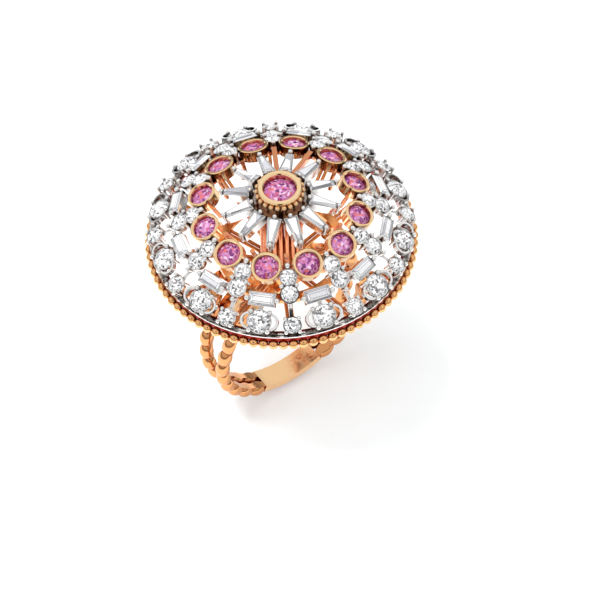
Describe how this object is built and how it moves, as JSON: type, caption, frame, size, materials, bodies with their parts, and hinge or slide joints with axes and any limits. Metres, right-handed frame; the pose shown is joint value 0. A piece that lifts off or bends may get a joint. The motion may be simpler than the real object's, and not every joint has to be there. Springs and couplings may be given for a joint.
{
  "type": "cocktail ring",
  "caption": "Finger ring with a wide openwork domed head of pink and clear stones in two-tone metal, on a split beaded shank with a plain round finger bore.",
  "frame": {"origin": "Centre of the finger bore, on its axis and halfway along its width.", "axes": "+Y is the finger bore's axis, +Z points from the bore up through the middle of the domed head, and +X completes the right-handed frame, across the finger."},
  "size_m": [0.0304, 0.0304, 0.0344],
  "materials": {
    "rose_gold": "polished rose-coloured gold, deep red in its hollows",
    "white_gold": "polished white-coloured gold",
    "pink_sapphire": "faceted pink stone",
    "diamond": "faceted clear stone"
  },
  "bodies": {
    "root": {"shank_base": "rose_gold", "bead_strand_front_left": "rose_gold", "bead_strand_back_left": "rose_gold", "bead_strand_front_right": "rose_gold", "bead_strand_back_right": "rose_gold", "shank_arch": "rose_gold", "hub": "rose_gold", "centre_cage": "rose_gold", "spokes": "rose_gold", "basket_ring": "rose_gold", "base_rim": "rose_gold", "rim_bead_row": "rose_gold", "bezel_link_ring": "rose_gold", "canopy_ribs": "rose_gold", "canopy_legs": "rose_gold", "white_rim_ring": "white_gold", "lattice_wires": "white_gold", "centre_cup": "white_gold", "centre_bezel": "rose_gold", "centre_bead_collar": "rose_gold", "centre_sapphire": "pink_sapphire", "tapered_settings": "white_gold", "tapered_diamonds": "diamond", "pair_settings": "white_gold", "pair_inner_diamonds": "diamond", "pair_outer_diamonds": "diamond", "baguette_settings": "white_gold", "baguette_diamonds": "diamond", "large_settings": "white_gold", "large_diamonds": "diamond", "halo_arcs": "white_gold", "small_settings": "white_gold", "small_diamonds": "diamond", "sapphire_bezel_01": "rose_gold", "sapphire_bezel_02": "rose_gold", "sapphire_bezel_03": "rose_gold", "sapphire_bezel_04": "rose_gold", "sapphire_bezel_05": "rose_gold", "sapphire_bezel_06": "rose_gold", "sapphire_bezel_07": "rose_gold", "sapphire_bezel_08": "rose_gold", "sapphire_bezel_09": "rose_gold", "sapphire_bezel_10": "rose_gold", "sapphire_bezel_11": "rose_gold", "sapphire_bezel_12": "rose_gold", "pink_sapphire_01": "pink_sapphire", "pink_sapphire_02": "pink_sapphire", "pink_sapphire_03": "pink_sapphire", "pink_sapphire_04": "pink_sapphire", "pink_sapphire_05": "pink_sapphire", "pink_sapphire_06": "pink_sapphire", "pink_sapphire_07": "pink_sapphire", "pink_sapphire_08": "pink_sapphire", "pink_sapphire_09": "pink_sapphire", "pink_sapphire_10": "pink_sapphire", "pink_sapphire_11": "pink_sapphire", "pink_sapphire_12": "pink_sapphire"}
  },
  "joints": []
}
